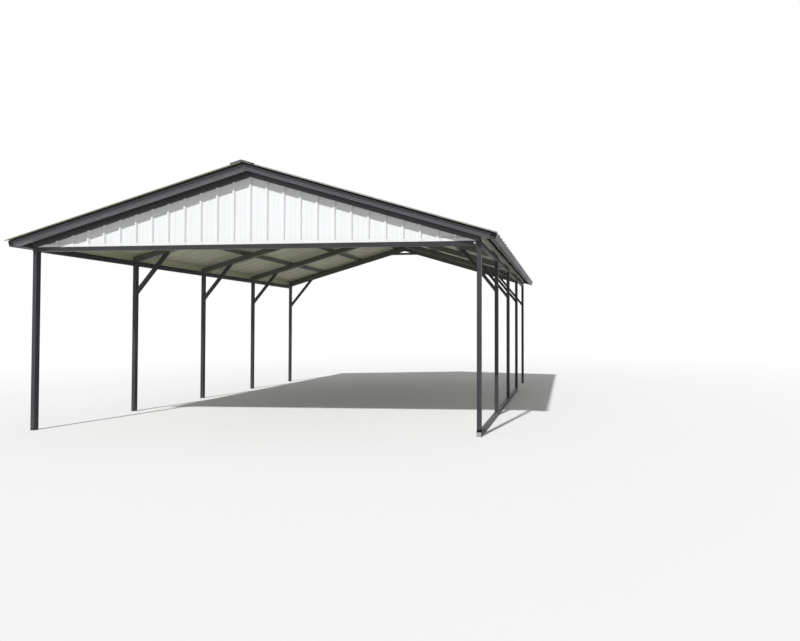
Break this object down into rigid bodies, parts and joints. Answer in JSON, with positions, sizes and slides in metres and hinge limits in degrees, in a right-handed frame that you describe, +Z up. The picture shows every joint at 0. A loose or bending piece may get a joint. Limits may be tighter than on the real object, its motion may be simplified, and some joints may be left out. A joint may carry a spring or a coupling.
{
  "type": "carport",
  "caption": "Open steel-tube carport with a ribbed gable roof, knee-braced bents and a white gable end over the drive-in side.",
  "frame": {"origin": "on the ground, in the middle of the roof's footprint", "axes": "+Z up, the drive-in gable faces -Y, +X to the right seen from the front"},
  "size_m": [6.6072, 6.5028, 3.5329],
  "materials": {
    "frame_paint": "charcoal paint, satin",
    "trim_paint": "charcoal paint, satin",
    "roof_sheet": "light grey coated sheet",
    "siding_white": "white coated sheet",
    "purlin_steel": "dull galvanized steel",
    "light_trim": "light grey coated sheet",
    "cap_grey": "light grey cap"
  },
  "bodies": {
    "root": {"post_left_1": "frame_paint", "post_left_2": "frame_paint", "post_left_3": "frame_paint", "post_left_4": "frame_paint", "post_left_5": "frame_paint", "post_right_1": "frame_paint", "post_right_2": "frame_paint", "post_right_3": "frame_paint", "post_right_4": "frame_paint", "post_right_5": "frame_paint", "rafter_left_1": "frame_paint", "rafter_left_2": "frame_paint", "rafter_left_3": "frame_paint", "rafter_left_4": "frame_paint", "rafter_left_5": "frame_paint", "rafter_right_1": "frame_paint", "rafter_right_2": "frame_paint", "rafter_right_3": "frame_paint", "rafter_right_4": "frame_paint", "rafter_right_5": "frame_paint", "knee_brace_left_2": "frame_paint", "knee_brace_left_3": "frame_paint", "knee_brace_left_4": "frame_paint", "knee_brace_left_5": "frame_paint", "knee_brace_right_2": "frame_paint", "knee_brace_right_3": "frame_paint", "knee_brace_right_4": "frame_paint", "knee_brace_right_5": "frame_paint", "peak_braces": "frame_paint", "front_header": "frame_paint", "eave_rail_left": "frame_paint", "eave_rail_right": "frame_paint", "base_rail_right": "frame_paint", "purlins_left": "purlin_steel", "purlins_right": "purlin_steel", "roof_sheet_left": "roof_sheet", "roof_sheet_right": "roof_sheet", "ridge_cap": "trim_paint", "edge_beams_left": "trim_paint", "edge_beams_right": "trim_paint", "eave_channel_left": "light_trim", "eave_channel_right": "light_trim", "gable_siding": "siding_white", "gable_base_trim": "siding_white", "base_rail_cap": "cap_grey"}
  },
  "joints": []
}
